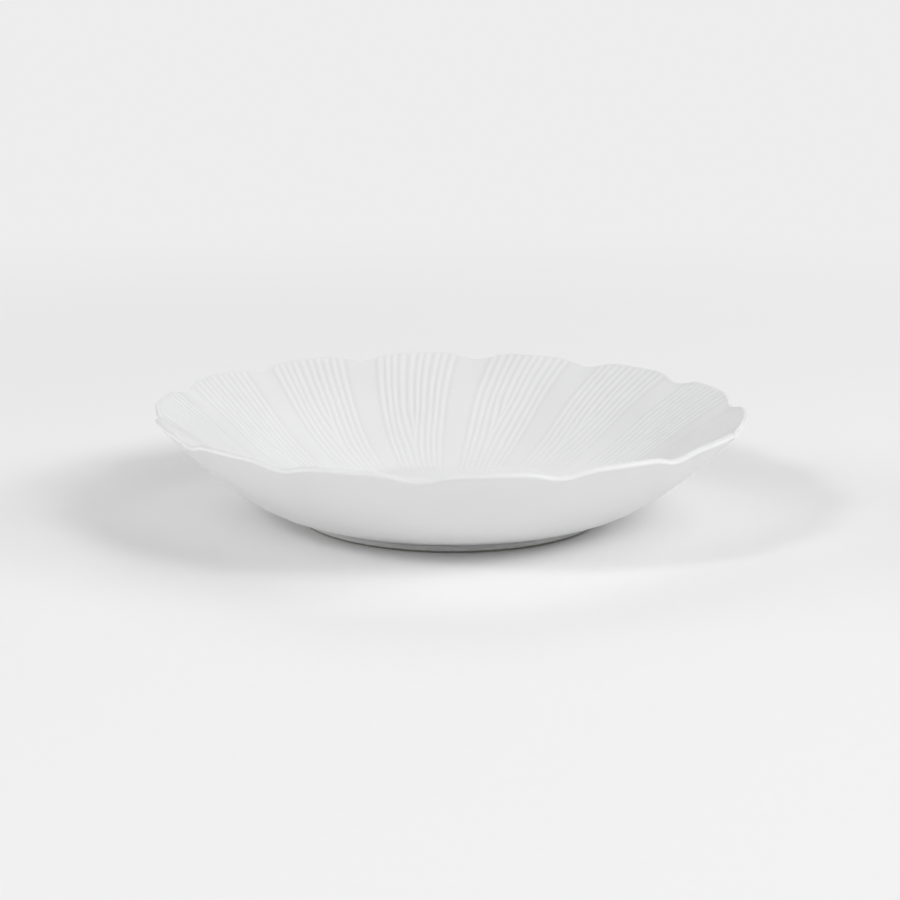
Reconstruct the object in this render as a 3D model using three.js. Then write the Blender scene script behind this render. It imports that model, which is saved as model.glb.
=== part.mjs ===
import * as THREE from 'three';

// Soup plate of white glazed porcelain: a shallow shell with ribbed petals and a scalloped rim,
// standing on a luted foot ring. Millimetres, +Z up, foot on z = 0, the axis of the plate on Z,
// one petal centred on +X and a notch of the rim on +Y.

// Overall size
const RIM_DIAMETER = 230;
const PLATE_HEIGHT = 43.3;

// Foot ring, and the flat underside it is luted to
const FOOT_HEIGHT = 2.8;
const FOOT_TOP_RADIUS = 60.3;
const FOOT_WIDTH = 7;
const FOOT_FLARE = 1;
const FOOT_DRAFT = 0.9;
const FOOT_EDGE_ROUND = 0.8;

// Well floor
const FLOOR_THICKNESS = 3.2;
const WELL_RADIUS = 54.5;
const PLAIN_CENTRE_RADIUS = 24;

// Wall, with its outside start above the foot, the slope of each end in degrees, and how far each end
// keeps its slope as a part of the wall's length
const WALL_START_OFFSET = 0.7;
const WALL_START_RISE = 1;
const OUTER_START_SLOPE = 8.5;
const OUTER_RIM_SLOPE = 43;
const INNER_START_SLOPE = 17.7;
const INNER_RIM_SLOPE = 32.7;
const OUTER_START_RATIO = 0.35;
const OUTER_RIM_RATIO = 0.27;
const INNER_START_RATIO = 0.38;
const INNER_RIM_RATIO = 0.39;

// Lip
const LIP_THICKNESS = 2.2;

// Scalloped rim: how far each notch runs inwards and down, and how far its dip reaches down the wall
const PETALS = 14;
const NOTCH_INWARD = 1.95;
const NOTCH_DROP = 2.7;
const NOTCH_REACH = 12;
const NOTCH_WAVE_RATIOS = [0.448, 0.193, 0.052];

// Ribs of one petal between fine grooves: the part of the petal they fill, their depth, the part of the
// wall they climb and the length over which they fade towards the plain centre
const RIBS = 10;
const RIB_SPREAD_RATIO = 0.7175;
const RIB_DEPTH = 0.35;
const RIB_CLIMB_RATIO = 0.98;
const RIB_FADE = 40;

// Lean of the ribs: their turn at the lip in degrees, what each millimetre inwards adds, and its easing
const RIB_TURN = 0.37;
const RIB_LEAN = 0.1325;
const RIB_LEAN_EASE = 0.0008;

// Plain band beside the ribs: its level between crest and groove
const BAND_LEVEL_RATIO = 0.4;

// Ribs that run out on their way down the wall: which rib, at what radius, over what length, and the part
// of its width that is left to it
const RUNOUT_RIBS = [5, 4];
const RUNOUT_RADII = [90, 76];
const RUNOUT_LENGTH = 15;
const RUNOUT_WIDTH_RATIO = 0.3;

// Fineness of the skin
const WALL_ROWS = 9;
const FLOOR_ROWS = 3;
const BAND_POINTS = 4;
const OUTER_ROWS = 6;
const LIP_STEPS = 4;
const LIP_POINTS = 12;
const OUTER_POINTS = 8;
const FOOT_SEGMENTS = 112;

const TURN = 2 * Math.PI;
const PETAL_ANGLE = TURN / PETALS;
const rimRadius = RIM_DIAMETER / 2;
const lipRadius = LIP_THICKNESS / 2;
const floorLevel = FOOT_HEIGHT + FLOOR_THICKNESS;
const lipCentre = { r: rimRadius - lipRadius, z: PLATE_HEIGHT - lipRadius };
const outerRimSlope = THREE.MathUtils.degToRad(OUTER_RIM_SLOPE);
const innerRimSlope = THREE.MathUtils.degToRad(INNER_RIM_SLOPE);
const lipTurn = Math.PI + innerRimSlope - outerRimSlope;

const smooth = (x) => THREE.MathUtils.smoothstep(x, 0, 1);

const lipPoint = (angle) => ({
  r: lipCentre.r + lipRadius * Math.cos(angle),
  z: lipCentre.z + lipRadius * Math.sin(angle),
});
const lipInner = lipPoint(innerRimSlope + Math.PI / 2);
const lipOuter = lipPoint(outerRimSlope - Math.PI / 2);

// A wall curve in the section plane, leaving its start at one slope and reaching the lip at another.
function wallCurve(start, startSlope, startRatio, end, endSlope, endRatio) {
  const span = Math.hypot(end.r - start.r, end.z - start.z);
  const leave = THREE.MathUtils.degToRad(startSlope);
  return new THREE.CubicBezierCurve(
    new THREE.Vector2(start.r, start.z),
    new THREE.Vector2(
      start.r + startRatio * span * Math.cos(leave),
      start.z + startRatio * span * Math.sin(leave),
    ),
    new THREE.Vector2(
      end.r - endRatio * span * Math.cos(endSlope),
      end.z - endRatio * span * Math.sin(endSlope),
    ),
    new THREE.Vector2(end.r, end.z),
  );
}

const wallStart = {
  r: FOOT_TOP_RADIUS + WALL_START_OFFSET,
  z: FOOT_HEIGHT + WALL_START_RISE,
};
const wellEdge = { r: WELL_RADIUS, z: floorLevel };
const outerWall = wallCurve(
  wallStart,
  OUTER_START_SLOPE,
  OUTER_START_RATIO,
  lipOuter,
  outerRimSlope,
  OUTER_RIM_RATIO,
);
const innerWall = wallCurve(
  wellEdge,
  INNER_START_SLOPE,
  INNER_START_RATIO,
  lipInner,
  innerRimSlope,
  INNER_RIM_RATIO,
);

// Depth of the scallop at an angle round the plate: 0 on the petal's tip, 1 in the notch.
function notchWave(angle) {
  const t = PETALS * angle + Math.PI;
  const [first, second, third] = NOTCH_WAVE_RATIOS;
  const wave = first * (1 + Math.cos(t)) + second * (Math.cos(2 * t) - 1) + third * (1 + Math.cos(3 * t));
  return wave / (2 * (first + third));
}

// Share of the scallop that is left at a radius on the wall.
const notchShare = (radius) => smooth(1 - (lipInner.r - radius) / NOTCH_REACH);

// Lean of the ribs at a radius, which grows from the lip inwards.
function ribLean(radius) {
  const inwards = lipInner.r - radius;
  return THREE.MathUtils.degToRad(RIB_TURN + RIB_LEAN * inwards - RIB_LEAN_EASE * inwards * inwards);
}

// Share of the ribs' depth at a radius, which fades towards the plain centre.
const ribShare = (radius) => smooth((radius - PLAIN_CENTRE_RADIUS) / RIB_FADE);

// Places one point of the section at an angle of the pattern, moved off the face by a height.
function place(section, angle, height) {
  const turned = angle + section.lean;
  const share = section.share * notchWave(turned);
  const r = section.r + section.nr * height - NOTCH_INWARD * share;
  const z = section.z + section.nz * height - NOTCH_DROP * share;
  return { angle, x: r * Math.cos(turned), y: r * Math.sin(turned), z };
}

// Evenly spaced points round the plate.
function plainRow(section, perPetal) {
  const row = [];
  for (let i = 0; i < PETALS * perPetal; i += 1) {
    row.push(place(section, (i / perPetal - 0.5) * PETAL_ANGLE, 0));
  }
  return row;
}

// How far a rib has run out at a radius, from 0 for a full rib to 1 for none.
function runout(rib, radius) {
  const at = RUNOUT_RIBS.indexOf(rib);
  return at < 0 ? 0 : smooth((RUNOUT_RADII[at] - radius) / RUNOUT_LENGTH + 0.5);
}

// Points along the grooves and crests of every petal and across the plain bands.
function ribbedRow(section) {
  const groove = RIB_DEPTH * ribShare(section.r);
  const gone = [];
  const widths = [];
  for (let rib = 0; rib < RIBS; rib += 1) {
    gone.push(runout(rib, section.r));
    widths.push(1 - (1 - RUNOUT_WIDTH_RATIO) * gone[rib]);
  }
  const total = widths.reduce((sum, width) => sum + width, 0);
  const ribbed = RIB_SPREAD_RATIO * PETAL_ANGLE;
  const band = PETAL_ANGLE - ribbed;
  const row = [];
  for (let petal = 0; petal < PETALS; petal += 1) {
    const start = (petal - 0.5) * PETAL_ANGLE;
    const tail = [];
    for (let i = 0; i < BAND_POINTS; i += 1) {
      const angle = ((i + 0.5) / BAND_POINTS - 0.5) * band;
      if (angle < 0) {
        tail.push(place(section, start + PETAL_ANGLE + angle, -BAND_LEVEL_RATIO * groove));
      } else {
        row.push(place(section, start + angle, -BAND_LEVEL_RATIO * groove));
      }
    }
    let angle = start + band / 2;
    row.push(place(section, angle, -groove));
    for (let rib = 0; rib < RIBS; rib += 1) {
      const width = (ribbed * widths[rib]) / total;
      row.push(place(section, angle + width / 2, -groove * gone[rib]));
      angle += width;
      row.push(place(section, angle, -groove));
    }
    row.push(...tail);
  }
  return row;
}

// A section point on the face, with its normal towards the food.
function onWall(at) {
  const p = innerWall.getPoint(at);
  const t = innerWall.getTangent(at);
  return { r: p.x, z: p.y, nr: -t.y, nz: t.x, share: notchShare(p.x), lean: ribLean(p.x) };
}
const onFloor = (r) => ({ r, z: floorLevel, nr: 0, nz: 1, share: 0, lean: ribLean(r) });

// A section point of the lip or the outside, which carries no relief.
const plain = (r, z, share) => ({ r, z, nr: 0, nz: 0, share, lean: 0 });
const centre = (z) => [{ angle: 0, x: 0, y: 0, z }];

// Joins rows of points, each one closed round the axis, into one skin with its faces outwards.
function skin(rows, closed) {
  const positions = [];
  const starts = [];
  for (const row of rows) {
    starts.push(positions.length / 3);
    for (const p of row) {
      positions.push(p.x, p.y, p.z);
    }
  }
  const index = [];
  const joins = closed ? rows.length : rows.length - 1;
  for (let k = 0; k < joins; k += 1) {
    const next = (k + 1) % rows.length;
    stitch(rows[k], starts[k], rows[next], starts[next], index);
  }
  const geometry = new THREE.BufferGeometry();
  geometry.setAttribute('position', new THREE.Float32BufferAttribute(positions, 3));
  geometry.setIndex(index);
  geometry.computeVertexNormals();
  return geometry;
}

// Fills the strip between two rows, walking round both by the angle of the pattern.
function stitch(a, startA, b, startB, index) {
  const ahead = (row, i) => row[i % row.length].angle + (i >= row.length ? TURN : 0);
  const stepsA = a.length > 1 ? a.length : 0;
  const stepsB = b.length > 1 ? b.length : 0;
  let i = 0;
  let j = 0;
  while (i < stepsA || j < stepsB) {
    const even = stepsA === stepsB;
    const onB = even ? j <= i : i >= stepsA || (j < stepsB && ahead(b, j + 1) <= ahead(a, i + 1));
    const pa = startA + (i % a.length);
    const pb = startB + (j % b.length);
    if (onB) {
      j += 1;
      index.push(pa, pb, startB + (j % b.length));
    } else {
      i += 1;
      index.push(pa, pb, startA + (i % a.length));
    }
  }
}

// Rows of the shell, from the middle of the well over the lip to the middle of the underside.
function shellRows() {
  const rows = [centre(floorLevel)];
  rows.push(plainRow(onFloor(PLAIN_CENTRE_RADIUS / 2), OUTER_POINTS / 2));
  for (let i = 0; i < FLOOR_ROWS; i += 1) {
    const radius = PLAIN_CENTRE_RADIUS + ((WELL_RADIUS - PLAIN_CENTRE_RADIUS) * i) / FLOOR_ROWS;
    rows.push(ribbedRow(onFloor(radius)));
  }
  for (let i = 0; i < WALL_ROWS; i += 1) {
    rows.push(ribbedRow(onWall((RIB_CLIMB_RATIO * i) / (WALL_ROWS - 1))));
  }
  for (let i = 0; i <= LIP_STEPS; i += 1) {
    const p = lipPoint(innerRimSlope + Math.PI / 2 - (lipTurn * i) / LIP_STEPS);
    rows.push(plainRow(plain(p.r, p.z, 1), LIP_POINTS));
  }
  for (let i = OUTER_ROWS - 1; i >= 0; i -= 1) {
    const p = outerWall.getPoint(i / OUTER_ROWS);
    rows.push(plainRow(plain(p.x, p.y, notchShare(p.x)), OUTER_POINTS));
  }
  rows.push(plainRow(plain(FOOT_TOP_RADIUS, FOOT_HEIGHT, 0), OUTER_POINTS));
  rows.push(centre(FOOT_HEIGHT));
  return rows;
}

// Rows of the foot ring: over its top, down the flared outside, across the bearing strip and back up.
function footRows() {
  const topInner = FOOT_TOP_RADIUS - FOOT_WIDTH;
  const outer = FOOT_TOP_RADIUS - FOOT_FLARE;
  const inner = topInner + FOOT_DRAFT;
  const soft = FOOT_EDGE_ROUND;
  const corner = soft * (1 - Math.SQRT1_2);
  const section = [
    [topInner, FOOT_HEIGHT],
    [FOOT_TOP_RADIUS, FOOT_HEIGHT],
    [outer, soft],
    [outer - corner, corner],
    [outer - soft, 0],
    [inner + soft, 0],
    [inner + corner, corner],
    [inner, soft],
  ];
  const perPetal = FOOT_SEGMENTS / PETALS;
  return section.map(([r, z]) => plainRow(plain(r, z, 0), perPetal));
}

function piece(name, geometry, color, roughness) {
  const mesh = new THREE.Mesh(geometry, new THREE.MeshStandardMaterial({ color, roughness }));
  mesh.name = name;
  return mesh;
}

const plate = new THREE.Group();
plate.name = 'soup_plate';
plate.add(piece('plate_body', skin(shellRows(), false), 0xf4f5f5, 0.18));
plate.add(piece('foot_ring', skin(footRows(), true), 0xeeeeeb, 0.35));

export default plate;
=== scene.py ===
"""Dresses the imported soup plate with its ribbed, scalloped and glazed porcelain, and sets a plain studio."""

import math
from collections import namedtuple

import bpy
from bpy.props import FloatProperty, FloatVectorProperty, IntProperty, PointerProperty
from mathutils import Matrix, Vector


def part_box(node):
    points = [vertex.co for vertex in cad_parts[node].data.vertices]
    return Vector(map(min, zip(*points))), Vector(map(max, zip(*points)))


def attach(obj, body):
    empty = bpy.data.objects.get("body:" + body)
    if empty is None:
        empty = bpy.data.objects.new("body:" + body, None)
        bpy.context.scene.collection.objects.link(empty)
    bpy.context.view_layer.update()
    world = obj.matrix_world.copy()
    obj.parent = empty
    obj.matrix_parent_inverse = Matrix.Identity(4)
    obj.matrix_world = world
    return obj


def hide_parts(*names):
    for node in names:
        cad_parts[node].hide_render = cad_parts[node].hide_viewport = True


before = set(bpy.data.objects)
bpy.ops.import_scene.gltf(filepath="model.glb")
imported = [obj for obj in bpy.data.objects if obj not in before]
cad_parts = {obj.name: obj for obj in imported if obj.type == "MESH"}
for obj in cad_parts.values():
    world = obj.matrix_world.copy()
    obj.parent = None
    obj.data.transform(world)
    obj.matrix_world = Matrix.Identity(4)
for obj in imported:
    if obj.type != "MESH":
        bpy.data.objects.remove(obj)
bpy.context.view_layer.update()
BODY_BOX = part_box("plate_body")
FOOT_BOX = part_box("foot_ring")

bl_info = {
    "name": "Petal Soup Plate",
    "version": (1, 0, 0),
    "blender": (4, 5, 0),
    "location": "View3D > Sidebar > Soup Plate",
    "description": "Dresses the packed soup plate with its ribbed, glazed porcelain",
    "category": "Object",
}

MM = 0.001
# Keeps the rim, which has finer steps here than in the solids, inside their box
FIT = 0.03 * MM
MATH = "ShaderNodeMath"
VECTOR = "ShaderNodeVectorMath"
RANGE = "ShaderNodeMapRange"

# One row of a section: its place, its normal, its share of the ribs and the scallop, its turn of the
# pattern, and how dark its glaze tone is, which paints the outside and the lip lighter than the face
Row = namedtuple("Row", "r z nr nz relief scallop lean glaze", defaults=(0,) * 6)


def linear(code):
    """Turns an sRGB hex colour into linear red, green and blue."""
    channels = [int(code[i:i + 2], 16) / 255 for i in (0, 2, 4)]
    return tuple(c / 12.92 if c <= 0.04045 else ((c + 0.055) / 1.055) ** 2.4 for c in channels)


class PlateSizes(bpy.types.PropertyGroup):
    """Sizes of the plate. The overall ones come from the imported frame."""

    rim_radius: FloatProperty(
        name="Rim radius", description="From the axis to the tip of a petal",
        default=BODY_BOX[1].x - FIT, unit="LENGTH")
    height: FloatProperty(
        name="Height", description="From the table to the top of the lip",
        default=BODY_BOX[1].z, unit="LENGTH")
    foot_height: FloatProperty(
        name="Foot height", description="From the table to the flat underside",
        default=FOOT_BOX[1].z, unit="LENGTH")
    foot_radius: FloatProperty(
        name="Foot radius", description="Outside of the foot ring where it meets the underside",
        default=FOOT_BOX[1].x, unit="LENGTH")
    foot_width: FloatProperty(
        name="Foot width", description="Width of the foot ring at its top",
        default=7 * MM, unit="LENGTH")
    foot_flare: FloatProperty(
        name="Foot flare", description="How far the foot's outside leans in towards the table",
        default=1 * MM, unit="LENGTH")
    foot_draft: FloatProperty(
        name="Foot draft", description="How far the foot's inside leans out towards the table",
        default=0.9 * MM, unit="LENGTH")
    foot_round: FloatProperty(
        name="Foot edge", description="Rounding on either side of the bearing strip",
        default=0.8 * MM, unit="LENGTH")
    floor_thickness: FloatProperty(
        name="Floor thickness", description="Clay under the well floor",
        default=3.2 * MM, unit="LENGTH")
    well_radius: FloatProperty(
        name="Well radius", description="Where the floor turns up into the wall",
        default=54.5 * MM, unit="LENGTH")
    plain_radius: FloatProperty(
        name="Plain centre", description="Middle of the well that carries no ribs",
        default=24 * MM, unit="LENGTH")
    lip_thickness: FloatProperty(
        name="Lip thickness", description="Thickness of the rounded lip",
        default=2.2 * MM, unit="LENGTH")
    petals: IntProperty(
        name="Petals", description="Petals round the rim", default=14, min=3)
    notch_inward: FloatProperty(
        name="Notch inward", description="How far a notch runs in from the rim",
        default=1.95 * MM, unit="LENGTH")
    notch_drop: FloatProperty(
        name="Notch drop", description="How far a notch dips below the petal tips",
        default=2.7 * MM, unit="LENGTH")
    notch_reach: FloatProperty(
        name="Notch reach", description="How far down the wall a notch is felt",
        default=20 * MM, unit="LENGTH")
    ribs: IntProperty(
        name="Ribs", description="Raised ribs in one petal", default=10, min=2)
    rib_depth: FloatProperty(
        name="Rib depth", description="Depth of the grooves between the ribs",
        default=0.28 * MM, unit="LENGTH")
    rib_share: FloatProperty(
        name="Rib share", description="Part of a petal's width that the ribs take",
        default=0.7175, subtype="FACTOR", min=0.1, max=0.95)
    rib_turn: FloatProperty(
        name="Rib turn", description="Turn of the ribs past the middle of the petal, at the lip",
        default=math.radians(0.37), subtype="ANGLE")
    rib_lean: FloatProperty(
        name="Rib lean", description="Turn of the pattern for each millimetre inwards, at the lip",
        default=math.radians(0.1325), subtype="ANGLE")
    lean_ease: FloatProperty(
        name="Lean ease", description="How much that turn eases off with each millimetre squared",
        default=math.radians(0.0008), subtype="ANGLE", precision=6)
    runout_high: FloatProperty(
        name="First run-out", description="Radius at which the first groove of a petal runs out",
        default=85 * MM, unit="LENGTH")
    runout_low: FloatProperty(
        name="Second run-out", description="Radius at which the second groove of a petal runs out",
        default=76 * MM, unit="LENGTH")
    runout_spread: FloatProperty(
        name="Run-out spread", description="Hand-made difference between petals in those radii",
        default=5 * MM, unit="LENGTH")
    runout_length: FloatProperty(
        name="Run-out length", description="Length over which a groove runs out",
        default=12 * MM, unit="LENGTH")


class PlateFinish(bpy.types.PropertyGroup):
    """Colours of the clay and its glaze, which also paint light and shade on the plate."""

    # The thin glaze tone is set light as painted light on the outside and the lip; the pooled tone darkens the
    # face and the grooves, partly from pooling and partly as painted shade
    clear_glaze_and_light: FloatVectorProperty(
        name="Thin glaze", description="White clay under the thin glaze of the lip and the outside",
        default=linear("f0f0f0"), subtype="COLOR", min=0, max=1)
    pooled_glaze_and_shade: FloatVectorProperty(
        name="Pooled glaze", description="The cooler tone where glaze gathers in grooves",
        default=linear("d8d8d9"), subtype="COLOR", min=0, max=1)
    # The bare clay is set darker than the white body partly as painted shade where the foot meets the table;
    # the worn grey is grit left by use
    bare_clay_and_shade: FloatVectorProperty(
        name="Bare clay", description="Unglazed, polished clay of the bearing strip",
        default=linear("bab6ae"), subtype="COLOR", min=0, max=1)
    worn_clay: FloatVectorProperty(
        name="Worn clay", description="Grey of the grit that use leaves on the bearing strip",
        default=linear("96928a"), subtype="COLOR", min=0, max=1)


class StudioLook(bpy.types.PropertyGroup):
    """Camera and paper of the plain studio."""

    azimuth: FloatProperty(
        name="Azimuth", description="Turn of the camera round the plate",
        default=math.radians(5.66), subtype="ANGLE")
    elevation: FloatProperty(
        name="Elevation", description="Camera above the horizon",
        default=math.radians(12.97), subtype="ANGLE")
    roll: FloatProperty(
        name="Roll", description="Tilt of the camera about its own view",
        default=math.radians(0.36), subtype="ANGLE")
    distance: FloatProperty(
        name="Distance", description="From the camera to the point it looks at",
        default=886.8 * MM, unit="LENGTH")
    aim_height: FloatProperty(
        name="Aim height", description="Height of the point the camera looks at",
        default=25.3 * MM, unit="LENGTH")
    lens: FloatProperty(
        name="Lens", description="Focal length in millimetres", default=90.7)
    paper: FloatVectorProperty(
        name="Paper", description="Colour of the paper under the plate",
        default=linear("ededed"), subtype="COLOR", min=0, max=1)
    far_paper: FloatVectorProperty(
        name="Far paper", description="Colour that the paper fades to far behind the plate",
        default=linear("ededed"), subtype="COLOR", min=0, max=1)


class SoupPlate(bpy.types.PropertyGroup):
    """All that a user may change."""

    sizes: PointerProperty(type=PlateSizes)
    finish: PointerProperty(type=PlateFinish)
    studio: PointerProperty(type=StudioLook)


def add(tree, kind, inputs=None, **settings):
    """Adds one node with its settings, and links or sets its inputs. A node given as an input stands for its
    first live output."""
    node = tree.nodes.new(kind)
    for name, value in settings.items():
        setattr(node, name, value)
    for key, value in (inputs or {}).items():
        if isinstance(value, bpy.types.Node):
            value = next(socket for socket in value.outputs if socket.enabled)
        if isinstance(value, bpy.types.NodeSocket):
            tree.links.new(value, node.inputs[key])
        else:
            node.inputs[key].default_value = value
    return node


def smooth(x):
    """Eases from 0 to 1 as x goes from 0 to 1."""
    x = min(1, max(0, x))
    return x * x * (3 - 2 * x)


# Slope of the wall from the level: outside above the foot, outside at the rim, and the same for the inside
OUTER_SLOPE = math.radians(8.5)
RIM_SLOPE = math.radians(43)
INNER_SLOPE = math.radians(17.7)
INNER_RIM_SLOPE = math.radians(32.7)
# How far the wall keeps its slope at the bottom and at the rim, as parts of its length
OUTER_PULL = (0.35, 0.27)
INNER_PULL = (0.38, 0.39)
# Where the outside starts, out from the top of the foot and above it
WALL_OFFSET = 0.7 * MM
WALL_RISE = 1 * MM
# Rows of the section, how far they crowd towards the lip, and the rings of the underside and the well as
# parts of their radius
LIP_STEPS = 10
OUTER_STEPS = 18
INNER_STEPS = 34
LIP_CROWDING = 1.7
UNDER_RINGS = (0, 0.5, 0.97, 1)
WELL_RINGS = (0.93, 0.85, 0.76, 0.67, 0.58, 0.5, 0.43, 0.2, 0)
FOOT_EDGE_STEPS = 4
# The ribs reach their depth this far in from the lip, and fade over this length towards the plain centre
RELIEF_TOP = 0.9 * MM
RELIEF_BOTTOM = 78 * MM
# Depth of the glaze tone, from 0 on the outside to 1 in the grooves. The outside is set lighter than the face
# as painted light, and the grooves darker than the crests partly from pooling and partly as painted shade
CREST_GLAZE_LIGHT = 0.5
FACE_GLAZE_SHADE = 0.7
GROOVE_GLAZE_SHADE = 0.9
# The face's darker tone runs over the lip and fades out on the outer part of its rounding, leaving a lighter
# lip as a painted highlight
LIP_HIGHLIGHT_COVER = 2.0


def wall_curve(start, end, start_slope, start_pull, end_slope, end_pull, steps):
    """Points of a wall in the section plane, from its start at one slope to the lip at another, set closer
    together towards the lip."""
    span = (end - start).length
    leave = start + Vector((math.cos(start_slope), math.sin(start_slope))) * start_pull * span
    arrive = end - Vector((math.cos(end_slope), math.sin(end_slope))) * end_pull * span
    points = []
    for i in range(steps):
        t = 1 - (1 - i / (steps - 1)) ** LIP_CROWDING
        middle = leave.lerp(arrive, t)
        low = start.lerp(leave, t).lerp(middle, t)
        high = middle.lerp(arrive.lerp(end, t), t)
        points.append(low.lerp(high, t))
    return points


def lean_at(sizes, inwards):
    """Turn of the pattern at a distance inwards from the lip, in millimetres."""
    inwards = max(0, inwards)
    return sizes.rib_turn + sizes.rib_lean * inwards - sizes.lean_ease * inwards * inwards


def plate_section(sizes):
    """Rows of the shell from the middle of the underside, over the lip, to the middle of the well."""
    lip_radius = sizes.lip_thickness / 2
    lip = Vector((sizes.rim_radius - lip_radius, sizes.height - lip_radius))
    floor = sizes.foot_height + sizes.floor_thickness

    def lip_point(angle):
        return lip + lip_radius * Vector((math.cos(angle), math.sin(angle)))

    lip_outer = lip_point(RIM_SLOPE - math.pi / 2)
    lip_inner = lip_point(INNER_RIM_SLOPE + math.pi / 2)
    wall_start = Vector((sizes.foot_radius + WALL_OFFSET, sizes.foot_height + WALL_RISE))
    well_edge = Vector((sizes.well_radius, floor))
    outside = wall_curve(
        wall_start, lip_outer, OUTER_SLOPE, OUTER_PULL[0], RIM_SLOPE, OUTER_PULL[1], OUTER_STEPS)
    inside = wall_curve(
        well_edge, lip_inner, INNER_SLOPE, INNER_PULL[0], INNER_RIM_SLOPE, INNER_PULL[1], INNER_STEPS)
    under = [Vector((sizes.foot_radius * part, sizes.foot_height)) for part in UNDER_RINGS]
    lip_turn = math.pi + INNER_RIM_SLOPE - RIM_SLOPE
    lip_arc = [
        lip_point(RIM_SLOPE - math.pi / 2 + lip_turn * i / LIP_STEPS) for i in range(1, LIP_STEPS)]
    well = [Vector((sizes.well_radius * part, floor)) for part in WELL_RINGS]
    points = under + outside + lip_arc + inside[::-1] + well
    lip_start = len(under) + len(outside)
    face_start = lip_start + len(lip_arc)

    rows = []
    for i, point in enumerate(points):
        before = points[max(i - 1, 0)]
        after = points[min(i + 1, len(points) - 1)]
        along = (after - before).normalized()
        on_face = i >= face_start
        depth = lip_inner.x - point.x
        below = smooth(depth / RELIEF_TOP)
        above = smooth((point.x - sizes.plain_radius) / RELIEF_BOTTOM)
        rows.append(Row(
            r=point.x, z=point.y, nr=along.y, nz=-along.x,
            relief=below * above if on_face else 0,
            scallop=smooth(1 - depth / sizes.notch_reach),
            lean=lean_at(sizes, depth / MM if on_face else 0),
            glaze=FACE_GLAZE_SHADE * smooth(LIP_HIGHLIGHT_COVER * (i - lip_start) / (face_start - lip_start))))
    return rows


def foot_section(sizes):
    """Rows of the foot ring, closed: across the bearing strip, up the outside and back down the inside."""
    top_inner = sizes.foot_radius - sizes.foot_width
    outer = sizes.foot_radius - sizes.foot_flare
    inner = top_inner + sizes.foot_draft
    soft = sizes.foot_round
    quarter = [math.pi / 2 * i / FOOT_EDGE_STEPS for i in range(FOOT_EDGE_STEPS + 1)]
    corners = [(inner + soft * (1 - math.cos(angle)), soft * (1 - math.sin(angle))) for angle in quarter]
    corners += [(outer - soft * (1 - math.sin(angle)), soft * (1 - math.cos(angle))) for angle in quarter]
    corners += [(sizes.foot_radius, sizes.foot_height), (top_inner, sizes.foot_height), corners[0]]
    return [Row(r, z) for r, z in corners]


def section_mesh(name, rows):
    """A mesh of loose points that carries a section to the lathe."""
    mesh = bpy.data.meshes.new(name)
    mesh.from_pydata([(row.r, 0, row.z) for row in rows], [], [])
    normal = mesh.attributes.new("face_normal", "FLOAT_VECTOR", "POINT")
    normal.data.foreach_set("vector", [part for row in rows for part in (row.nr, 0, row.nz)])
    share = mesh.attributes.new("pattern_share", "FLOAT_VECTOR", "POINT")
    share.data.foreach_set("vector", [part for row in rows for part in (row.relief, row.scallop, row.lean)])
    glaze = mesh.attributes.new("glaze_and_light_depth", "FLOAT", "POINT")
    glaze.data.foreach_set("value", [row.glaze for row in rows])
    return mesh


LATHE_INPUTS = (
    ("Section", "NodeSocketGeometry"),
    ("Petals", "NodeSocketInt"),
    ("Ribs", "NodeSocketInt"),
    ("Rib columns", "NodeSocketInt"),
    ("Band columns", "NodeSocketInt"),
    ("Rib share", "NodeSocketFloat"),
    ("Rib depth", "NodeSocketFloat"),
    ("Notch inward", "NodeSocketFloat"),
    ("Notch drop", "NodeSocketFloat"),
    ("First run-out", "NodeSocketFloat"),
    ("Second run-out", "NodeSocketFloat"),
    ("Run-out spread", "NodeSocketFloat"),
    ("Run-out length", "NodeSocketFloat"),
    ("Seed", "NodeSocketInt"),
    ("Material", "NodeSocketMaterial"),
)
# The notch wave as a polynomial in the cosine of the angle from a petal's tip, from its third power down
NOTCH_WAVE = (-0.208, 0.386, -0.292, 0.114)
# The groove of a petal that runs out first is one of these two, and a neighbour of it follows. This part of
# a rib's width is left of each
RUNOUT_GROOVES = (5, 6)
RUNOUT_WIDTH = 0.12
# Ribs of uneven width, as they were cut by hand in the master: the swing in ribs, its pace along them, and
# the stride that keeps one petal unlike the next
RIB_UNEVEN = 0.22
RIB_PACE = 0.45
PETAL_STRIDE = 17.3
# Ribs a little broader than a plain wave, and the part of half a band that eases into its groove
CREST_POWER = 0.8
GROOVE_EDGE = 0.3
# The plain band lies between the grooves and the crests
BAND_LEVEL = 0.4
# Closes the seam and the poles
MERGE_DISTANCE = 0.002 * MM


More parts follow.
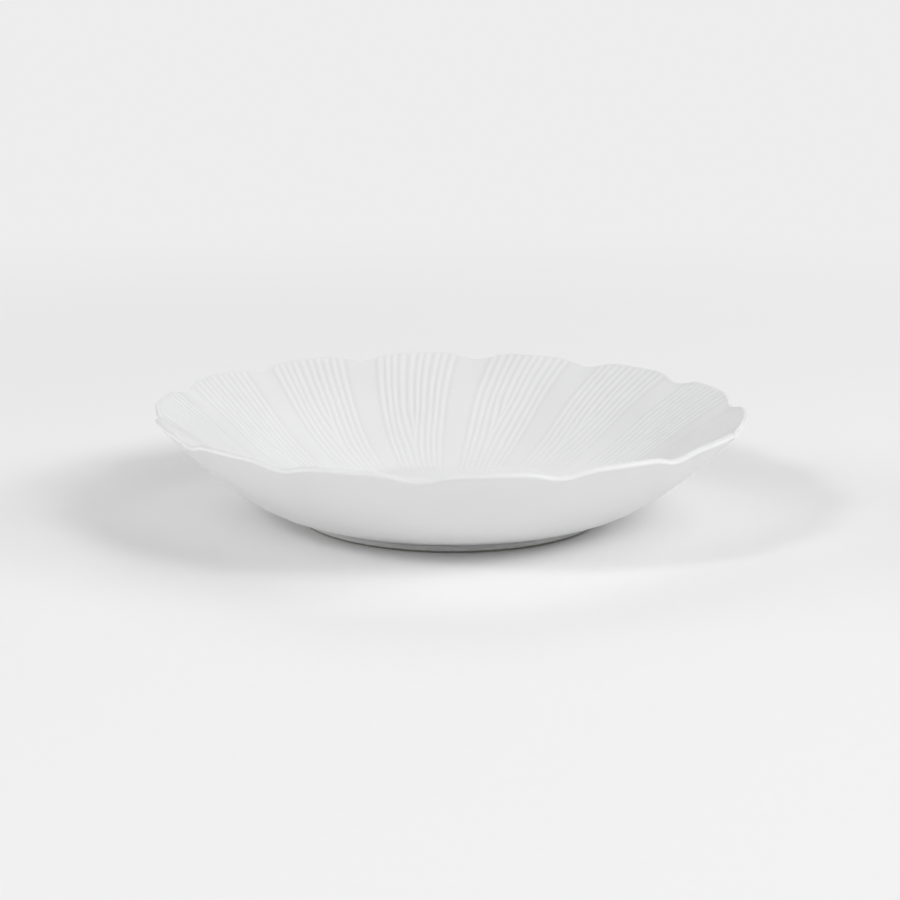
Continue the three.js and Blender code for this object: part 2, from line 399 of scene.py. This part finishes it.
def petal_lathe():
    """The node tree that turns a section round the axis, scallops its rim and presses the ribs into it."""
    tree = bpy.data.node_groups.new("Petal lathe", "GeometryNodeTree")
    for name, kind in LATHE_INPUTS:
        tree.interface.new_socket(name, in_out="INPUT", socket_type=kind)
    tree.interface.new_socket("Plate", in_out="OUTPUT", socket_type="NodeSocketGeometry")
    given = add(tree, "NodeGroupInput").outputs

    # A grid with a column for each angle and a row for each point of the section
    rows = add(tree, "GeometryNodeAttributeDomainSize", {0: given["Section"]}, component="MESH")
    rib_columns = add(tree, MATH, {0: given["Ribs"], 1: given["Rib columns"]}, operation="MULTIPLY")
    per_petal = add(tree, MATH, {0: rib_columns, 1: given["Band columns"]}, operation="ADD")
    columns = add(tree, MATH, {0: given["Petals"], 1: per_petal, 2: 1}, operation="MULTIPLY_ADD")
    grid = add(tree, "GeometryNodeMeshGrid", {"Vertices X": columns, "Vertices Y": rows})
    index = add(tree, "GeometryNodeInputIndex")
    row = add(tree, MATH, {0: index, 1: rows}, operation="FLOORED_MODULO")
    column_share = add(tree, MATH, {0: index, 1: rows}, operation="DIVIDE")
    column = add(tree, MATH, {0: column_share}, operation="FLOOR")
    turn = add(tree, MATH, {0: column, 1: per_petal}, operation="DIVIDE")
    petal = add(tree, MATH, {0: turn}, operation="FLOOR")
    across = add(tree, MATH, {0: turn}, operation="FRACT")

    # What each row of the section says
    place = add(tree, "GeometryNodeInputPosition")
    normal = add(tree, "GeometryNodeInputNamedAttribute", {"Name": "face_normal"}, data_type="FLOAT_VECTOR")
    share = add(tree, "GeometryNodeInputNamedAttribute", {"Name": "pattern_share"}, data_type="FLOAT_VECTOR")
    place, normal, share = (
        add(tree, "GeometryNodeSampleIndex", {"Geometry": given["Section"], "Value": field, "Index": row},
            data_type="FLOAT_VECTOR")
        for field in (place, normal, share))
    # The row's glaze tone, which paints the outside and the lip lighter than the face
    glaze = add(tree, "GeometryNodeInputNamedAttribute", {"Name": "glaze_and_light_depth"}, data_type="FLOAT")
    glaze = add(tree, "GeometryNodeSampleIndex", {
        "Geometry": given["Section"], "Value": glaze, "Index": row}, data_type="FLOAT")
    radius = add(tree, "ShaderNodeSeparateXYZ", {0: place}).outputs["X"]
    share = add(tree, "ShaderNodeSeparateXYZ", {0: share}).outputs

    # A petal is half a plain band, the ribs counted by their grooves, and half a band
    band_columns = add(tree, MATH, {0: given["Band columns"], 1: 0.5}, operation="MULTIPLY")
    edge = add(tree, MATH, {0: band_columns, 1: per_petal}, operation="DIVIDE")
    far_edge = add(tree, MATH, {0: 1, 1: edge}, operation="SUBTRACT")
    left = add(tree, RANGE, {"Value": across, "From Max": edge})
    right = add(tree, RANGE, {"Value": across, "From Min": far_edge, "From Max": 1})
    phase = add(tree, RANGE, {
        "Value": across, "From Min": edge, "From Max": far_edge, "To Max": given["Ribs"]})

    # Two grooves near the middle of each petal run out on their way in: the ribs beside each one become one
    width = given["Ribs"]
    shift = phase
    cut = 1
    half_length = add(tree, MATH, {0: given["Run-out length"], 1: 0.5}, operation="MULTIPLY")
    first = add(tree, "FunctionNodeRandomValue", {
        4: RUNOUT_GROOVES[0], 5: RUNOUT_GROOVES[1], "ID": petal, "Seed": given["Seed"]}, data_type="INT")
    side = add(tree, "FunctionNodeRandomValue", {
        "ID": petal, "Seed": given["Seed"], "Probability": 0.5}, data_type="BOOLEAN")
    side = add(tree, RANGE, {"Value": side, "To Min": -1, "To Max": 1})
    second = add(tree, MATH, {0: first, 1: side}, operation="ADD")
    for name, fading in (("First run-out", first), ("Second run-out", second)):
        nearest = add(tree, MATH, {0: given[name], 1: given["Run-out spread"]}, operation="SUBTRACT")
        farthest = add(tree, MATH, {0: given[name], 1: given["Run-out spread"]}, operation="ADD")
        where = add(tree, "FunctionNodeRandomValue", {
            2: nearest, 3: farthest, "ID": petal, "Seed": given["Seed"]}, data_type="FLOAT")
        begins = add(tree, MATH, {0: where, 1: half_length}, operation="ADD")
        ends = add(tree, MATH, {0: where, 1: half_length}, operation="SUBTRACT")
        gone = add(tree, RANGE, {
            "Value": radius, "From Min": begins, "From Max": ends}, interpolation_type="SMOOTHSTEP")
        lost = add(tree, MATH, {0: gone, 1: 1 - RUNOUT_WIDTH}, operation="MULTIPLY")
        crest = add(tree, MATH, {0: fading, 1: 0.5}, operation="SUBTRACT")
        next_crest = add(tree, MATH, {0: fading, 1: 0.5}, operation="ADD")
        over = add(tree, RANGE, {"Value": phase, "From Min": crest, "From Max": next_crest})
        closed = add(tree, MATH, {0: lost, 1: over}, operation="MULTIPLY")
        shift = add(tree, MATH, {0: shift, 1: closed}, operation="SUBTRACT")
        width = add(tree, MATH, {0: width, 1: lost}, operation="SUBTRACT")
        rest = add(tree, MATH, {0: 1, 1: over}, operation="SUBTRACT")
        middle = add(tree, MATH, {0: over, 1: rest}, operation="MULTIPLY")
        middle = add(tree, MATH, {0: middle, 1: 4}, operation="MULTIPLY")
        filled = add(tree, MATH, {0: middle, 1: gone}, operation="MULTIPLY")
        left_open = add(tree, MATH, {0: 1, 1: filled}, operation="SUBTRACT")
        cut = add(tree, MATH, {0: cut, 1: left_open}, operation="MULTIPLY")

    # No two ribs are quite the same width
    pace = add(tree, MATH, {0: shift, 1: RIB_PACE}, operation="MULTIPLY")
    pace = add(tree, MATH, {0: petal, 1: PETAL_STRIDE, 2: pace}, operation="MULTIPLY_ADD")
    uneven = add(tree, "ShaderNodeTexNoise", {"W": pace, "Scale": 1, "Detail": 0}, noise_dimensions="1D")
    uneven = add(tree, RANGE, {"Value": uneven, "To Min": -RIB_UNEVEN, "To Max": RIB_UNEVEN})
    inside = add(tree, MATH, {0: shift, 1: width}, operation="DIVIDE")
    inside = add(tree, MATH, {0: inside, 1: math.pi}, operation="MULTIPLY")
    inside = add(tree, MATH, {0: inside}, operation="SINE")
    shift = add(tree, MATH, {0: uneven, 1: inside, 2: shift}, operation="MULTIPLY_ADD")

    # Where the column lies across its petal, and the angle that gives
    ribbed = add(tree, MATH, {0: shift, 1: width}, operation="DIVIDE")
    ribbed = add(tree, MATH, {0: ribbed, 1: given["Rib share"]}, operation="MULTIPLY")
    half_band = add(tree, MATH, {0: 1, 1: given["Rib share"]}, operation="SUBTRACT")
    half_band = add(tree, MATH, {0: half_band, 1: 0.5}, operation="MULTIPLY")
    bands = add(tree, MATH, {0: left, 1: right}, operation="ADD")
    lie = add(tree, MATH, {0: bands, 1: half_band, 2: ribbed}, operation="MULTIPLY_ADD")
    petals_round = add(tree, MATH, {0: petal, 1: lie}, operation="ADD")
    petals_round = add(tree, MATH, {0: petals_round, 1: 0.5}, operation="SUBTRACT")
    pitch = add(tree, MATH, {0: 2 * math.pi, 1: given["Petals"]}, operation="DIVIDE")
    angle = add(tree, MATH, {0: petals_round, 1: pitch, 2: share["Z"]}, operation="MULTIPLY_ADD")

    # Rounded ribs between grooves, ending in a groove on either side
    swing = add(tree, MATH, {0: phase, 1: 2 * math.pi}, operation="MULTIPLY")
    swing = add(tree, MATH, {0: swing}, operation="COSINE")
    crest = add(tree, RANGE, {"Value": swing, "From Min": 1, "From Max": -1})
    crest = add(tree, MATH, {0: crest, 1: CREST_POWER}, operation="POWER")
    groove = add(tree, MATH, {0: 1, 1: crest}, operation="SUBTRACT")
    groove = add(tree, MATH, {0: groove, 1: cut}, operation="MULTIPLY")
    left_end = add(tree, RANGE, {
        "Value": left, "From Min": 1 - GROOVE_EDGE, "From Max": 1}, interpolation_type="SMOOTHSTEP")
    right_end = add(tree, RANGE, {
        "Value": right, "From Min": GROOVE_EDGE, "From Max": 0}, interpolation_type="SMOOTHSTEP")
    in_ribs = add(tree, MATH, {0: left_end, 1: right_end}, operation="MULTIPLY")
    pressed = add(tree, RANGE, {"Value": in_ribs, "To Min": BAND_LEVEL, "To Max": groove})
    # Glaze tone across the ribs: darker in the grooves and on the band, lighter on the crests, partly from
    # pooling and partly as painted shade
    gathered_and_shaded = add(tree, RANGE, {"Value": in_ribs, "To Min": FACE_GLAZE_SHADE, "To Max": add(
        tree, RANGE, {"Value": groove, "To Min": CREST_GLAZE_LIGHT, "To Max": GROOVE_GLAZE_SHADE})})
    pool_and_shade = add(tree, RANGE, {"Value": share["X"], "To Min": glaze, "To Max": gathered_and_shaded})
    depth = add(tree, MATH, {0: share["X"], 1: given["Rib depth"]}, operation="MULTIPLY")

    # The scallop of the rim, sharp at the lip and softer down the wall
    bend = add(tree, MATH, {0: angle, 1: given["Petals"]}, operation="MULTIPLY")
    bend = add(tree, MATH, {0: bend}, operation="COSINE")
    wave = NOTCH_WAVE[0]
    for term in NOTCH_WAVE[1:]:
        wave = add(tree, MATH, {0: wave, 1: bend, 2: term}, operation="MULTIPLY_ADD")
    soft = add(tree, RANGE, {"Value": bend, "From Min": 1, "From Max": -1})
    wave = add(tree, RANGE, {"Value": share["Y"], "To Min": soft, "To Max": wave})
    scallop = add(tree, MATH, {0: wave, 1: share["Y"]}, operation="MULTIPLY")
    sink = add(tree, MATH, {0: pressed, 1: depth}, operation="MULTIPLY")

    # The moved section, turned to its angle
    sunk = add(tree, VECTOR, {0: normal, "Scale": sink}, operation="SCALE")
    notch = add(tree, "ShaderNodeCombineXYZ", {"X": given["Notch inward"], "Z": given["Notch drop"]})
    notch = add(tree, VECTOR, {0: notch, "Scale": scallop}, operation="SCALE")
    place = add(tree, VECTOR, {0: place, 1: sunk}, operation="SUBTRACT")
    place = add(tree, VECTOR, {0: place, 1: notch}, operation="SUBTRACT")
    place = add(tree, "ShaderNodeVectorRotate", {"Vector": place, "Angle": angle}, rotation_type="Z_AXIS")

    skin = add(tree, "GeometryNodeStoreNamedAttribute", {
        "Geometry": grid, "Name": "glaze_pool_and_shade", "Value": pool_and_shade}, data_type="FLOAT", domain="POINT")
    skin = add(tree, "GeometryNodeSetPosition", {"Geometry": skin, "Position": place})
    skin = add(tree, "GeometryNodeMergeByDistance", {"Geometry": skin, "Distance": MERGE_DISTANCE})
    skin = add(tree, "GeometryNodeSetShadeSmooth", {"Geometry": skin})
    skin = add(tree, "GeometryNodeRealizeInstances", {"Geometry": skin})
    skin = add(tree, "GeometryNodeSetMaterial", {"Geometry": skin, "Material": given["Material"]})
    add(tree, "NodeGroupOutput", {"Plate": skin})
    return tree


def turned_piece(name, rows, values):
    """Runs a section through the lathe and keeps the result as a plain mesh."""
    piece = bpy.data.objects.new(name, section_mesh(name, rows))
    bpy.context.scene.collection.objects.link(piece)
    tree = bpy.data.node_groups.get("Petal lathe") or petal_lathe()
    modifier = piece.modifiers.new("Petal lathe", "NODES")
    modifier.node_group = tree
    for socket in tree.interface.items_tree:
        if socket.name in values:
            modifier[socket.identifier] = values[socket.name]
    graph = bpy.context.evaluated_depsgraph_get()
    mesh = bpy.data.meshes.new_from_object(piece.evaluated_get(graph), depsgraph=graph)
    if not mesh.polygons:
        raise RuntimeError(f"The lathe gave no faces for {name}")
    section = piece.data
    piece.modifiers.clear()
    piece.data = mesh
    bpy.data.meshes.remove(section)
    mesh.name = name
    return piece


def blank_material(name):
    """A new material and its empty node tree."""
    material = bpy.data.materials.new(name)
    material.use_nodes = True
    material.node_tree.nodes.clear()
    return material, material.node_tree


# How far the glaze runs thicker and thinner in clouds
CLOUD = 0.08


def glazed_porcelain(finish):
    """Glazed hard-paste porcelain: pressed white clay under a clear glaze that thins on crests, gathers in
    grooves and keeps a faint waviness from firing, so its gloss is soft and never mirror-flat. Its darker
    grooves and face and its lighter crests, lip and outside are partly painted light and shade."""
    material, tree = blank_material("glazed hard-paste porcelain")
    coords = add(tree, "ShaderNodeTexCoord").outputs["Object"]
    pool_and_shade = add(tree, "ShaderNodeAttribute", attribute_name="glaze_pool_and_shade").outputs["Fac"]
    # Clouds about 35 mm wide, as the glaze runs a little thicker and thinner
    cloud = add(tree, "ShaderNodeTexNoise", {"Vector": coords, "Scale": 1 / (35 * MM), "Detail": 2})
    cloud = add(tree, RANGE, {
        "Value": cloud, "From Min": 0.3, "From Max": 0.7, "To Min": -CLOUD, "To Max": CLOUD})
    depth = add(tree, MATH, {0: pool_and_shade, 1: cloud}, operation="ADD", use_clamp=True)
    # Mixes the light and dark glaze tones, whose difference is partly painted light and shade
    colour = add(tree, "ShaderNodeMix", {
        "Factor": depth, 6: (*finish.clear_glaze_and_light, 1), 7: (*finish.pooled_glaze_and_shade, 1)}, data_type="RGBA")
    # Firing waviness about 3 mm wide and a hundredth of a millimetre high
    peel = add(tree, "ShaderNodeTexNoise", {"Vector": coords, "Scale": 1 / (3 * MM), "Detail": 2})
    bump = add(tree, "ShaderNodeBump", {"Strength": 1, "Distance": 0.01 * MM, "Height": peel})
    gloss = add(tree, RANGE, {
        "Value": cloud, "From Min": -CLOUD, "From Max": CLOUD, "To Min": 0.4, "To Max": 0.48})
    shader = add(tree, "ShaderNodeBsdfPrincipled", {
        "Base Color": colour.outputs[2], "Roughness": gloss, "IOR": 1.5, "Specular IOR Level": 0.3,
        "Normal": bump})
    add(tree, "ShaderNodeOutputMaterial", {"Surface": shader})
    return material


def foot_porcelain(finish):
    """The foot: the same glazed porcelain, wiped bare and polished on the strip that touches the table, where
    it is warmer, duller and lightly greyed by use, and darker as painted shade where it meets the table."""
    material, tree = blank_material("porcelain foot with bare bearing strip")
    coords = add(tree, "ShaderNodeTexCoord").outputs["Object"]
    height = add(tree, "ShaderNodeSeparateXYZ", {0: coords}).outputs["Z"]
    # The wiped edge of the glaze wanders by a few tenths of a millimetre, in waves about 6 mm long
    wander = add(tree, "ShaderNodeTexNoise", {"Vector": coords, "Scale": 1 / (6 * MM), "Detail": 3})
    wander = add(tree, RANGE, {"Value": wander, "To Min": -0.2 * MM, "To Max": 0.2 * MM})
    edge = add(tree, MATH, {0: height, 1: wander}, operation="ADD")
    glazed = add(tree, RANGE, {"Value": edge, "From Min": 0.7 * MM, "From Max": 0.9 * MM})
    # Fine grit of the bare clay, drawn about half a millimetre wide so that it shows
    grit = add(tree, "ShaderNodeTexNoise", {"Vector": coords, "Scale": 1 / (0.5 * MM), "Detail": 2})
    # Bare strip with grit of use, its darkness partly painted shade at the table
    worn_and_shaded = add(tree, "ShaderNodeMix", {
        "Factor": grit, 6: (*finish.bare_clay_and_shade, 1), 7: (*finish.worn_clay, 1)}, data_type="RGBA")
    colour = add(tree, "ShaderNodeMix", {
        "Factor": glazed, 6: worn_and_shaded.outputs[2], 7: (*finish.clear_glaze_and_light, 1)}, data_type="RGBA")
    gloss = add(tree, RANGE, {"Value": glazed, "To Min": 0.6, "To Max": 0.4})
    bump = add(tree, "ShaderNodeBump", {"Strength": 0.6, "Distance": 0.02 * MM, "Height": grit})
    shader = add(tree, "ShaderNodeBsdfPrincipled", {
        "Base Color": colour.outputs[2], "Roughness": gloss, "IOR": 1.5, "Normal": bump})
    add(tree, "ShaderNodeOutputMaterial", {"Surface": shader})
    return material


# The paper keeps its shading up to the first of these distances in metres, and is plain from the second on
PAPER_FADE = (0.22, 0.9)
# Tone of the paper's fibres, as a part of its colour
FIBRE_TONE = 0.985


def floor_paper(studio):
    """Matt studio paper: a pale, even ground with the faintest fibre, which keeps the plate's shadow and
    fades to its own plain colour far away."""
    material, tree = blank_material("matt studio paper")
    coords = add(tree, "ShaderNodeTexCoord").outputs["Object"]
    fibre = add(tree, "ShaderNodeTexNoise", {"Vector": coords, "Scale": 1 / (4 * MM), "Detail": 2})
    tone = [(*studio.paper, 1), (*(channel * FIBRE_TONE for channel in studio.paper), 1)]
    colour = add(tree, "ShaderNodeMix", {"Factor": fibre, 6: tone[0], 7: tone[1]}, data_type="RGBA")
    near = add(tree, "ShaderNodeBsdfPrincipled", {
        "Base Color": colour.outputs[2], "Roughness": 0.9, "Specular IOR Level": 0.1})
    far = add(tree, "ShaderNodeEmission", {"Color": (*studio.far_paper, 1), "Strength": 1})
    reach = add(tree, VECTOR, {0: coords}, operation="LENGTH").outputs["Value"]
    fade = add(
        tree, RANGE, {"Value": reach, "From Min": PAPER_FADE[0], "From Max": PAPER_FADE[1]},
        interpolation_type="SMOOTHSTEP")
    # Only what the eye meets, straight or in a reflection, fades, so the paper still passes on its light
    path = add(tree, "ShaderNodeLightPath").outputs
    seen = add(tree, MATH, {0: path["Is Camera Ray"], 1: path["Is Glossy Ray"]}, operation="MAXIMUM")
    seen = add(tree, MATH, {0: seen, 1: path["Is Transmission Ray"]}, operation="MAXIMUM")
    fade = add(tree, MATH, {0: fade, 1: seen}, operation="MULTIPLY")
    shader = add(tree, "ShaderNodeMixShader", {0: fade, 1: near, 2: far})
    add(tree, "ShaderNodeOutputMaterial", {"Surface": shader})
    return material


def settle(piece, node):
    """Puts a finished piece on the frame in place of its CAD node."""
    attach(piece, "root")
    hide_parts(node)


# Columns of faces across a rib, across a plain band and across half a petal's width of the foot
RIB_COLUMNS = 8
BAND_COLUMNS = 16
FOOT_COLUMNS = 8
# Picks the run-outs of each petal
PETAL_SEED = 1599


class SOUPPLATE_OT_body(bpy.types.Operator):
    """Turns the shell, scallops its rim and presses the ribs into its face"""

    bl_idname = "soupplate.body"
    bl_label = "Plate Body"

    def execute(self, context):
        sizes = context.scene.soup_plate.sizes
        body = turned_piece("plate_shell", plate_section(sizes), {
            "Petals": sizes.petals,
            "Ribs": sizes.ribs,
            "Rib columns": RIB_COLUMNS,
            "Band columns": BAND_COLUMNS,
            "Rib share": sizes.rib_share,
            "Rib depth": sizes.rib_depth,
            "Notch inward": sizes.notch_inward,
            "Notch drop": sizes.notch_drop,
            "First run-out": sizes.runout_high,
            "Second run-out": sizes.runout_low,
            "Run-out spread": sizes.runout_spread,
            "Run-out length": sizes.runout_length,
            "Seed": PETAL_SEED,
            "Material": glazed_porcelain(context.scene.soup_plate.finish),
        })
        settle(body, "plate_body")
        return {"FINISHED"}


class SOUPPLATE_OT_foot(bpy.types.Operator):
    """Turns the foot ring with its rounded edges and bare bearing strip"""

    bl_idname = "soupplate.foot"
    bl_label = "Foot Ring"

    def execute(self, context):
        sizes = context.scene.soup_plate.sizes
        foot = turned_piece("foot", foot_section(sizes), {
            "Petals": sizes.petals,
            "Ribs": 1,
            "Rib columns": FOOT_COLUMNS,
            "Band columns": FOOT_COLUMNS,
            "Rib share": 0.5,
            "Material": foot_porcelain(context.scene.soup_plate.finish),
        })
        settle(foot, "foot_ring")
        return {"FINISHED"}


# The paper in metres, and the camera's sensor in millimetres
FLOOR_HALF_WIDTH = 9.0
BACKDROP_HEIGHT = 2.5
SENSOR_WIDTH = 36
# Light of the room itself, from all sides
ROOM_LEVEL = 0.255
# A soft box with its place and size in metres, where the camera looks along Y, and its power in watts
SoftBox = namedtuple("SoftBox", "name place width height power")
SOFT_BOXES = (
    SoftBox("key_soft_box", (2.0, -1.25, 1.85), 0.95, 0.95, 27),
    SoftBox("left_soft_box", (-1.84, -1.53, 1.8), 0.5, 0.5, 19),
    SoftBox("front_soft_box", (0, -2.6, 1.5), 2.4, 0.7, 14),
    SoftBox("low_left_soft_box", (-2.82, 0, 1.03), 2.4, 1.0, 26),
    SoftBox("low_right_soft_box", (2.64, -0.23, 1.41), 1.6, 0.7, 23),
    SoftBox("high_right_soft_box", (1.72, 0, 2.46), 2.0, 1.2, 9),
    SoftBox("back_soft_box", (0, 2.4, 1.8), 2.4, 1.4, 17),
)


def floor_mesh():
    """A wide sheet of paper, flat under the plate and standing up as a backdrop far beyond it."""
    corners = [
        (x * FLOOR_HALF_WIDTH, y * FLOOR_HALF_WIDTH, z)
        for z in (0, BACKDROP_HEIGHT) for x, y in ((-1, -1), (1, -1), (1, 1), (-1, 1))]
    backdrop = [((i + 1) % 4, i, i + 4, (i + 1) % 4 + 4) for i in range(4)]
    mesh = bpy.data.meshes.new("paper_floor")
    mesh.from_pydata(corners, [], [(0, 1, 2, 3)] + backdrop)
    return mesh


def soft_light(box, turn, aim):
    """Hangs a rectangular soft box so that it faces the plate."""
    lamp = bpy.data.lights.new(box.name, "AREA")
    lamp.shape = "RECTANGLE"
    lamp.size = box.width
    lamp.size_y = box.height
    lamp.energy = box.power
    light = bpy.data.objects.new(box.name, lamp)
    facing = (Vector(box.place) - Vector(aim)).to_track_quat("Z", "Y").to_matrix().to_4x4()
    light.matrix_world = turn @ Matrix.Translation(box.place) @ facing
    bpy.context.scene.collection.objects.link(light)


class SOUPPLATE_OT_studio(bpy.types.Operator):
    """Lays the paper floor, and sets the soft lights, the room's light and the camera"""

    bl_idname = "soupplate.studio"
    bl_label = "Studio"

    def execute(self, context):
        scene = context.scene
        studio = scene.soup_plate.studio
        turn = Matrix.Rotation(studio.azimuth, 4, "Z")

        paper = bpy.data.objects.new("paper_floor", floor_mesh())
        paper.data.materials.append(floor_paper(studio))
        scene.collection.objects.link(paper)

        aim = (0, 0, studio.aim_height)
        for box in SOFT_BOXES:
            soft_light(box, turn, aim)

        world = bpy.data.worlds.new("plain room")
        world.use_nodes = True
        tree = world.node_tree
        tree.nodes.clear()
        room = add(tree, "ShaderNodeBackground", {"Color": (1, 1, 1, 1), "Strength": ROOM_LEVEL})
        add(tree, "ShaderNodeOutputWorld", {"Surface": room})
        scene.world = world
        scene.view_settings.view_transform = "Standard"

        back = Vector((0, -math.cos(studio.elevation), math.sin(studio.elevation)))
        look = (-back).to_track_quat("-Z", "Y").to_matrix().to_4x4()
        camera = bpy.data.objects.new("camera", bpy.data.cameras.new("camera"))
        camera.data.lens = studio.lens
        camera.data.sensor_width = SENSOR_WIDTH
        place = Matrix.Translation(Vector(aim) + back * studio.distance)
        camera.matrix_world = turn @ place @ look @ Matrix.Rotation(studio.roll, 4, "Z")
        scene.collection.objects.link(camera)
        scene.camera = camera
        return {"FINISHED"}


class SOUPPLATE_PT_sidebar(bpy.types.Panel):
    """Lists the pieces of the plate and what can be changed on them"""

    bl_idname = "SOUPPLATE_PT_sidebar"
    bl_label = "Soup Plate"
    bl_space_type = "VIEW_3D"
    bl_region_type = "UI"
    bl_category = "Soup Plate"

    def draw(self, context):
        plate = context.scene.soup_plate
        for operator, group in (
                (SOUPPLATE_OT_body, plate.sizes),
                (SOUPPLATE_OT_foot, plate.finish),
                (SOUPPLATE_OT_studio, plate.studio)):
            box = self.layout.box()
            box.operator(operator.bl_idname)
            for name in group.bl_rna.properties.keys():
                if name not in ("rna_type", "name"):
                    box.prop(group, name)


CLASSES = (
    PlateSizes,
    PlateFinish,
    StudioLook,
    SoupPlate,
    SOUPPLATE_OT_body,
    SOUPPLATE_OT_foot,
    SOUPPLATE_OT_studio,
    SOUPPLATE_PT_sidebar,
)


def register():
    for cls in CLASSES:
        bpy.utils.register_class(cls)
    bpy.types.Scene.soup_plate = PointerProperty(type=SoupPlate)


def unregister():
    del bpy.types.Scene.soup_plate
    for cls in reversed(CLASSES):
        bpy.utils.unregister_class(cls)


def main():
    register()
    bpy.ops.soupplate.body()
    bpy.ops.soupplate.foot()
    bpy.ops.soupplate.studio()


if __name__ == "__main__":
    main()
